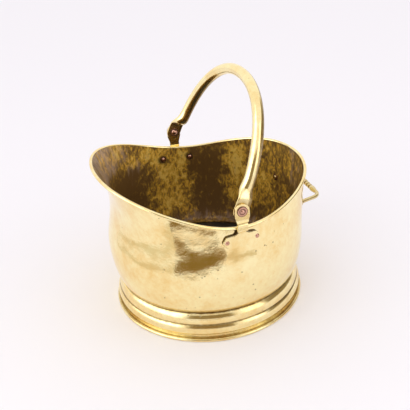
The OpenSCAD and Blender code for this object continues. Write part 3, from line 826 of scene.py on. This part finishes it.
class SCUTTLE_OT_brackets(bpy.types.Operator):
    """Cut, bend and soften the two winged brackets with their ears"""

    bl_idname = "scuttle.brackets"
    bl_label = "Brackets"

    def execute(self, context):
        groove = (UPWARDS, BETWEEN_RIDGES, 0.9, 0.5)
        # The wings' upper edges carry painted gap shade as well as old polish
        finish = polished_brass("cut_and_filed_brass", shade_and_grime_at=wing_edge_shade_and_grime(0.95), bands=[groove], haze=0.04)
        for side, name in ((1, "left"), (-1, "right")):
            bm = bmesh.new()
            face = bm.faces.new([bm.verts.new((0, *at)) for at in bracket_outline()])
            raised = bmesh.ops.extrude_face_region(bm, geom=[face])["geom"]
            raised = [part for part in raised if isinstance(part, bmesh.types.BMVert)]
            bmesh.ops.translate(bm, verts=raised, vec=(PLATE, 0, 0))
            outwards(bm)
            front = [edge for edge in bm.edges if all(vert.co.x > PLATE / 2 for vert in edge.verts)]
            bevelled(bm, front, context.scene.scuttle_sizes.edge_round / MM, 3)
            cut_through(bm, (0, 1, 0), -23, 24, 1.6)
            cut_through(bm, (0, 0, 1), -46, 9, 1.1)
            for vert in bm.verts:
                vert.co = bent(vert.co.y, vert.co.z, vert.co.x, side)
            outwards(bm)
            plate, replaced = f"bracket_plate_{name}", [f"bracket_{name}"]
            finished(bm, plate, "scuttle", [finish], replaced, sharp=50)
        return {"FINISHED"}


BAIL = {"half": 111.36, "draw": 8.5, "reach": 124.0, "full": 2.15, "back": 2.6, "lean": math.radians(-25)}
TUBE_R, TONGUE_W, TONGUE_T, TONGUE_REACH = 6.7, 18.0, 2.6, 10.5
NARROW_FROM, THICK_FROM, ROUND_FROM, NARROW_TO = 6.0, 11.0, 23.0, 36.0
BAIL_POINTS, BAIL_STEPS, TONGUE_STEPS = 32, 150, 22
# How square the tongue's section is, where 1 is an ellipse
TONGUE_FULL = 0.45
# Dark line behind the bail, a painted dark reflection, as (distance behind its middle, half width, strength)
BAIL_REFLECTION_LINE = (4.6, 4.2, 0.8)


def signed_pow(value, exponent):
    return math.copysign(abs(value) ** exponent, value)


def arch(u):
    """Middle line of the bail as (across, height above the pivots) at an angle round its arch."""
    height = BAIL["reach"] * math.sin(u) ** (2 / BAIL["full"])
    grown = smooth((height - THICK_FROM) / (ROUND_FROM - THICK_FROM))
    across = BAIL["half"] * signed_pow(math.cos(u), 2 / BAIL["full"])
    return Vector((across + math.copysign(BAIL["draw"] * (1 - grown), math.cos(u)), height))


def bail_centre(step):
    """Middle and direction of the bail at a step, with the tongues at both ends."""
    count = BAIL_STEPS - 2 * TONGUE_STEPS
    start = math.asin((NARROW_FROM / 2 / BAIL["reach"]) ** (BAIL["full"] / 2))
    if step < TONGUE_STEPS or step > BAIL_STEPS - TONGUE_STEPS:
        side = 1 if step < TONGUE_STEPS else -1
        share = (step if side > 0 else BAIL_STEPS - step) / TONGUE_STEPS
        height = -TONGUE_REACH + (NARROW_FROM / 2 + TONGUE_REACH) * (1 - math.cos(share * math.pi / 2)) ** 0.9
        return Vector((side * (BAIL["half"] + BAIL["draw"]), height)), Vector((0, side))
    u = math.pi / 2 - (math.pi / 2 - start) * math.cos(math.pi * (step - TONGUE_STEPS) / count)
    way = (arch(min(u + 0.004, math.pi - start / 2)) - arch(max(u - 0.004, start / 2))).normalized()
    return arch(u), way


class SCUTTLE_OT_bail(bpy.types.Operator):
    """Bend the tube of the swinging bail and flatten its ends to tongues"""

    bl_idname = "scuttle.bail"
    bl_label = "Bail"

    def execute(self, context):
        bm, number = spun_section(BAIL_POINTS, BAIL_STEPS, axis=(1, 0, 0), angle=math.pi, whole=False)
        middle = TONGUE_W / 2 - TONGUE_REACH
        turned = Matrix.Rotation(BAIL["lean"], 3, "X")
        for vert in bm.verts:
            corner, step = bar_place(vert, vert[number], BAIL_POINTS, BAIL_STEPS)
            centre, way = bail_centre(step)
            h = centre.y
            narrowed = smooth((h - NARROW_FROM) / (NARROW_TO - NARROW_FROM))
            grown = smooth((h - THICK_FROM) / (ROUND_FROM - THICK_FROM))
            wide = TONGUE_W / 2 * (1 - narrowed) + TUBE_R * narrowed
            if h < middle:
                wide = math.sqrt(max((TONGUE_W / 2) ** 2 - (h - middle) ** 2, 0.04))
            thick = TONGUE_T / 2 * (1 - grown) + TUBE_R * grown
            full = TONGUE_FULL + (1 - TONGUE_FULL) * grown
            side, out = wide * signed_pow(math.cos(corner), full), thick * signed_pow(math.sin(corner), full)
            made = Vector((centre.x + out * way.y, side + narrowed * BAIL["back"], centre.y - out * way.x))
            vert.co = turned @ made + PIVOT
        closed(bm)
        # Painted dark reflection in a band along the back of the tube
        behind = Vector((0, math.cos(BAIL["lean"]), math.sin(BAIL["lean"])))
        back, half, strength = BAIL_REFLECTION_LINE
        line = (behind, PIVOT.dot(behind) + BAIL["back"] + back, half, strength)
        tongue = (PIVOT + Vector((120, 0, 4)), 5, 14, 0.45)
        finish = polished_brass("drawn_and_bent_brass", tarnish_at=[tongue], bands=[line], haze=0.08)
        finished(bm, "bail_tube", "bail", [finish], ["bail"], sharp=50)
        return {"FINISHED"}


HANDLE_Z, HANDLE_ANGLE = 116.5, math.radians(18)
LEG_TURN, HANDLE_OUT, ELBOW_R = math.radians(16), 23.0, 12.0
LEG_R, GRIP_R, GRIP_FALL, GROOVE_PITCH, GROOVE_DEPTH = 2.5, 3.7, 0.3, 6.0, 1.0
GROOVES_AT = (0.0, GROOVE_PITCH)
LEG_FROM, HANDLE_POINTS, LEG_STEPS, ELBOW_STEPS, GRIP_STEPS = 1.2, 24, 12, 18, 36
# Dirt in the rings of the grip, as (axis, at, half width, strength)
HANDLE_LINES = tuple(((1, 0, 0), at, 1.3, 1.0) for at in GROOVES_AT)
# Collar outside the wall and rove inside it, as (radius, top, low, rounding)
LEG_ENDS = ((4.2, 1.75, -0.15, 0.5), (2.8, -0.85, -3.1, 0.9))


def handle_path(wall_r):
    """Points of the handle's middle line in its own plane, and where its grip ends."""
    start = (wall_r + LEG_FROM) * Vector((math.sin(HANDLE_ANGLE), math.cos(HANDLE_ANGLE)))
    grip_y = wall_r + HANDLE_OUT
    run = (grip_y - start.y) / math.cos(LEG_TURN)
    corner = Vector((start.x - run * math.sin(LEG_TURN), grip_y))
    cut = ELBOW_R * math.tan((math.pi / 2 - LEG_TURN) / 2)
    elbow = Vector((corner.x - cut, grip_y - ELBOW_R))
    half = []
    for i in range(LEG_STEPS):
        half.append(start.lerp(corner, (1 - cut / run) * i / LEG_STEPS))
    for i in range(ELBOW_STEPS):
        half.append(elbow + ELBOW_R * on_circle(LEG_TURN + (math.pi / 2 - LEG_TURN) * i / ELBOW_STEPS))
    for i in range(GRIP_STEPS):
        half.append(Vector((elbow.x * (1 - i / GRIP_STEPS), grip_y)))
    return half + [Vector((0, grip_y))] + [Vector((-p.x, p.y)) for p in reversed(half)], elbow.x


def grip_radius(x, elbow_x):
    """Radius of the turned bar at a distance from its middle."""
    far = abs(x)
    if far >= elbow_x:
        return LEG_R
    swelled = smooth((far - GROOVE_PITCH - 1) / (elbow_x * 0.5 - GROOVE_PITCH - 1))
    drawn = smooth((far / elbow_x - 0.55) / 0.45)
    radius = GRIP_R - GRIP_FALL * (1 - swelled) - (GRIP_R - LEG_R) * drawn
    for at in GROOVES_AT:
        radius -= GROOVE_DEPTH * math.exp(-(((far - at) / 0.8) ** 2))
    return radius


class SCUTTLE_OT_back_handle(bpy.types.Operator):
    """Turn and bend the fixed handle at the back and close its ends against the wall"""

    bl_idname = "scuttle.back_handle"
    bl_label = "Back handle"

    def execute(self, context):
        wall, way = wall_at(HANDLE_ANGLE, wall_height(HANDLE_ANGLE, HANDLE_Z))
        tilt = Matrix.Rotation(-math.atan2(way.x, way.y), 3, "X")
        path, elbow_x = handle_path(wall.x)
        last = len(path) - 1
        bm, number = spun_section(HANDLE_POINTS, last, axis=(1, 0, 0), angle=math.pi, whole=False)
        for vert in bm.verts:
            corner, step = bar_place(vert, vert[number], HANDLE_POINTS, last)
            here = path[step]
            along = (path[min(step + 1, last)] - path[max(step - 1, 0)]).normalized()
            radius = grip_radius(here.x, elbow_x) if here.y > wall.x + HANDLE_OUT - 0.01 else LEG_R
            flat = here + radius * math.cos(corner) * outward(along)
            made = tilt @ Vector((flat.x, flat.y - wall.x, radius * math.sin(corner)))
            vert.co = made + Vector((0, wall.x, HANDLE_Z))
        closed(bm)
        for angle in (-HANDLE_ANGLE, HANDLE_ANGLE):
            turned = place(angle, outward(way)).to_track_quat("Z", "Y").to_matrix().to_4x4()
            for radius, top, low, rounding in LEG_ENDS:
                middle = Matrix.Translation((0, 0, (top + low) / 2))
                disc = bmesh.ops.create_cone(
                    bm,
                    cap_ends=True,
                    segments=32,
                    radius1=radius,
                    radius2=radius * 0.96,
                    depth=top - low,
                    matrix=Matrix.Translation(place(angle, wall)) @ turned @ middle,
                )
                edges = {edge for vert in disc["verts"] for edge in vert.link_edges}
                bevelled(bm, [e for e in edges if e.calc_face_angle() > 1], rounding, 4)
        outwards(bm)
        stain = ((0, 130, HANDLE_Z), 60, 90, 0.35)
        finish = polished_brass("turned_brass_bar", tarnish_at=[stain], bands=HANDLE_LINES, haze=0.05)
        finished(bm, "back_handle", "scuttle", [finish], ["rear_handle"])
        return {"FINISHED"}


def refinish(node, material):
    """Gives a node of the frame a finish in place of its plain one."""
    target = NODES[node]
    target.data.materials.clear()
    target.data.materials.append(material)


# Rings of old polish round the pivots: how far out they lie, their radii and their width
PEEN_OUT, PEEN_RINGS, PEEN_W = 124.7, (3.3, 6.0), 1.1


class SCUTTLE_OT_rivets(bpy.types.Operator):
    """Finish the copper rivets, roves and washers"""

    bl_idname = "scuttle.rivets"
    bl_label = "Rivets and roves"

    def execute(self, context):
        browned = peened_copper("browned_copper", 0.5)
        places = [(side * PEEN_OUT, PIVOT.y, PIVOT.z) for side in (-1, 1)]
        rings = [(at, radius, PEEN_W) for at in places for radius in PEEN_RINGS]
        bright = peened_copper("peened_copper", 0.0, rings)
        for side in ("left", "right"):
            for node in ("pivot_rivet", "pivot_rove", "bracket_rivets"):
                refinish(f"{node}_{side}", bright)
            for node in ("pivot_washer", "bracket_roves"):
                refinish(f"{node}_{side}", browned)
        refinish("rear_handle_roves", browned)
        return {"FINISHED"}


class SCUTTLE_OT_bottom(bpy.types.Operator):
    """Finish the bottom plate and the iron wires in the rolled edges"""

    bl_idname = "scuttle.bottom"
    bl_label = "Bottom plate and wires"

    def execute(self, context):
        wire = iron_wire("drawn_iron_wire")
        refinish("rim_wire", wire)
        refinish("foot_wire", wire)
        refinish("base_plate", dull_brass("rolled_brass_under_coal"))
        return {"FINISHED"}


# ---- Stage ----

CAMERA_AT = Vector((0.8320, -0.2688, 0.6070))
CAMERA_RIGHT = Vector((0.3420, 0.9376, -0.0626))
CAMERA_UP = Vector((-0.4381, 0.2180, 0.8721))
CAMERA_BACK = CAMERA_RIGHT.cross(CAMERA_UP)
FRONT = Vector((CAMERA_BACK.x, CAMERA_BACK.y, 0)).normalized()
LENS, SENSOR = 69.55, 36.0
# The room's light in the brass
ROOM = (1.06, 1.03, 1.02)
# What else the brass mirrors, as (turn from the front, rise and softness in degrees, colour)
MIRRORED = (
    ((-100, -36), (3, 60), 5, (2.3, 2.4, 2.45)),
    ((40, 66), (3, 55), 4, (1.9, 1.9, 1.9)),
    ((-28, 27), (-6, 38), 4, (0.28, 0.21, 0.11)),
    ((68, 124), (-3, 34), 5, (0.26, 0.20, 0.11)),
)
# Light that the room gives to everything
FILL = (0.95, 0.945, 0.98)


def surroundings(world):
    """A bright room: a window on each side of the camera, and dark behind it and at the far right."""
    world.use_nodes = True
    tree = world.node_tree
    tree.nodes.clear()
    way = add(tree, "TexCoord").node.outputs["Generated"]
    aside = add(tree, "VectorMath DOT_PRODUCT", way, (-FRONT.y, FRONT.x, 0))
    ahead = add(tree, "VectorMath DOT_PRODUCT", way, FRONT)
    turn = add(tree, "Math ARCTAN2", aside, ahead)
    rise = add(tree, "Math ARCSINE", add(tree, "SeparateXYZ", way).node.outputs["Z"])
    tone = ROOM
    for turn_range, rise_range, soft, tint in MIRRORED:
        mask = 1.0
        for value, (low, high) in ((turn, turn_range), (rise, rise_range)):
            for start, end in ((low - soft, low + soft), (high + soft, high - soft)):
                side = add(tree, "MapRange SMOOTHSTEP", value, math.radians(start), math.radians(end))
                mask = add(tree, "Math MULTIPLY", side, mask)
        tone = add(tree, "Mix RGBA", mask, tone, tint)
    mirrored = add(tree, "LightPath").node.outputs["Is Glossy Ray"]
    tone = add(tree, "Mix RGBA", mirrored, FILL, tone)
    add(tree, "OutputWorld", add(tree, "Background", tone))


def area_light(name, at, size, power):
    """A soft window that lights the part and isn't mirrored in it."""
    data = bpy.data.lights.new(name, "AREA")
    data.shape, data.size, data.size_y = "RECTANGLE", size[0], size[1]
    data.energy, data.color = power, DAYLIGHT
    lamp = bpy.data.objects.new(name, data)
    lamp.location = at
    lamp.rotation_mode = "QUATERNION"
    lamp.rotation_quaternion = (LIT_AT - at).to_track_quat("-Z", "Y")
    lamp.visible_glossy = False
    bpy.context.scene.collection.objects.link(lamp)


# Soft windows, as (name, metres ahead, to the left and up, size, watts)
WINDOWS = (
    ("window_left", (0.85, 0.9, 1.05), (1.4, 1.1), 2.8),
    ("window_right", (0.6, -1.0, 0.8), (0.8, 1.0), 1.4),
)
DAYLIGHT = (0.97, 1.0, 0.99)
LIT_AT = Vector((0, 0, 0.05))
FLOOR_HALF, FLOOR_Z = 6.0, -0.0002
# Matt cards laid on the floor in front, seen only in the brass, as (name, colour, edges), where an edge is
# (angle to the camera's right, nearest, farthest)
CARDS = (
    (
        "dark_card",
        "#826730",
        (
            (-31, 275, 287), (-24, 269, 295), (-12, 269, 305), (0, 280, 325), (9, 300, 352),
            (17, 330, 377), (22, 368, 391),
        ),
    ),
    (
        "pale_card",
        "#E0D6C4",
        (
            (-109, 380, 388), (-94, 358, 380), (-86, 345, 372), (-75, 318, 345), (-63, 298, 325),
            (-54, 290, 313), (-42, 281, 298), (-30, 275, 290),
        ),
    ),
    (
        "pale_card_right",
        "#D9CBB4",
        ((22, 342, 368), (28, 352, 396), (33, 372, 420), (41, 384, 436), (48, 398, 456)),
    ),
)


def stage_piece(bm, name, material):
    """Makes a bmesh in metres a part of the stage."""
    mesh = bpy.data.meshes.new(name)
    bm.to_mesh(mesh)
    bm.free()
    mesh.materials.append(material)
    piece = bpy.data.objects.new(name, mesh)
    bpy.context.scene.collection.objects.link(piece)
    return piece


def matt(name, tone, weave=0.0):
    """Matt card without gloss, or paper with the faintest fibre, darker by a share."""
    material, tree, where = new_material(name)
    fibre = add(tree, "Math MULTIPLY", add(tree, "TexNoise", where, per_metre(60)), 0.012)
    base = add(tree, "Mix RGBA", fibre, tone, darker(tone, 1 - weave))
    surface(tree, {"Base Color": base, "Roughness": 1.0, "Specular IOR Level": 0.0})
    return material


class SCUTTLE_OT_stage(bpy.types.Operator):
    """Lay the pale floor, light the room and set up the camera"""

    bl_idname = "scuttle.stage"
    bl_label = "Floor, light and camera"

    def execute(self, context):
        scene = context.scene
        bm = bmesh.new()
        bmesh.ops.create_grid(bm, x_segments=2, y_segments=2, size=FLOOR_HALF)
        bmesh.ops.translate(bm, verts=bm.verts, vec=(0, 0, FLOOR_Z))
        stage_piece(bm, "floor", matt("matt_white_paper", scene.scuttle_colours.floor, weave=0.1))
        for name, tone, rim in CARDS:
            bm = bmesh.new()
            last = None
            for turn, low, high in rim:
                way = Matrix.Rotation(math.radians(turn), 3, "Z") @ FRONT
                edge = bm.edges.new([bm.verts.new(way * far * MM) for far in (low, high)])
                if last:
                    bmesh.ops.bridge_loops(bm, edges=[last, edge])
                last = edge
            card = stage_piece(bm, name, matt(name, linear(tone)))
            card.visible_camera = card.visible_diffuse = card.visible_shadow = False
        scene.world = bpy.data.worlds.new("bright_room")
        surroundings(scene.world)
        left = Vector((FRONT.y, -FRONT.x, 0))
        for name, (ahead, aside, up), size, power in WINDOWS:
            area_light(name, ahead * FRONT + aside * left + Vector((0, 0, up)), size, power)
        camera = bpy.data.cameras.new("camera")
        camera.lens, camera.sensor_width = LENS, SENSOR
        camera.clip_start, camera.clip_end = 0.05, 30.0
        holder = bpy.data.objects.new("camera", camera)
        axes = Matrix((CAMERA_RIGHT, CAMERA_UP, CAMERA_BACK)).transposed().to_4x4()
        holder.matrix_world = Matrix.Translation(CAMERA_AT) @ axes
        scene.collection.objects.link(holder)
        scene.camera = holder
        scene.view_settings.view_transform = "Standard"
        return {"FINISHED"}


class SCUTTLE_PT_panel(bpy.types.Panel):
    """Lists the steps that build the scuttle's looks"""

    bl_idname = "SCUTTLE_PT_panel"
    bl_label = "Coal scuttle"
    bl_space_type = "VIEW_3D"
    bl_region_type = "UI"
    bl_category = "Scuttle"

    def draw(self, context):
        column = self.layout.column()
        for group in (context.scene.scuttle_sizes, context.scene.scuttle_colours):
            for key in group.__annotations__:
                column.prop(group, key)
        for step in STEPS:
            column.operator(step.bl_idname)


STEPS = (
    SCUTTLE_OT_stage,
    SCUTTLE_OT_body,
    SCUTTLE_OT_foot,
    SCUTTLE_OT_brackets,
    SCUTTLE_OT_bail,
    SCUTTLE_OT_back_handle,
    SCUTTLE_OT_rivets,
    SCUTTLE_OT_bottom,
)
CLASSES = (ScuttleSizes, ScuttleColours, *STEPS, SCUTTLE_PT_panel)


def register():
    for made in CLASSES:
        bpy.utils.register_class(made)
    bpy.types.Scene.scuttle_sizes = PointerProperty(type=ScuttleSizes)
    bpy.types.Scene.scuttle_colours = PointerProperty(type=ScuttleColours)


def unregister():
    del bpy.types.Scene.scuttle_colours
    del bpy.types.Scene.scuttle_sizes
    for made in reversed(CLASSES):
        bpy.utils.unregister_class(made)


def main():
    register()
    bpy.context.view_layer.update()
    for step in STEPS:
        group, name = step.bl_idname.split(".")
        getattr(getattr(bpy.ops, group), name)()


if __name__ == "__main__":
    main()
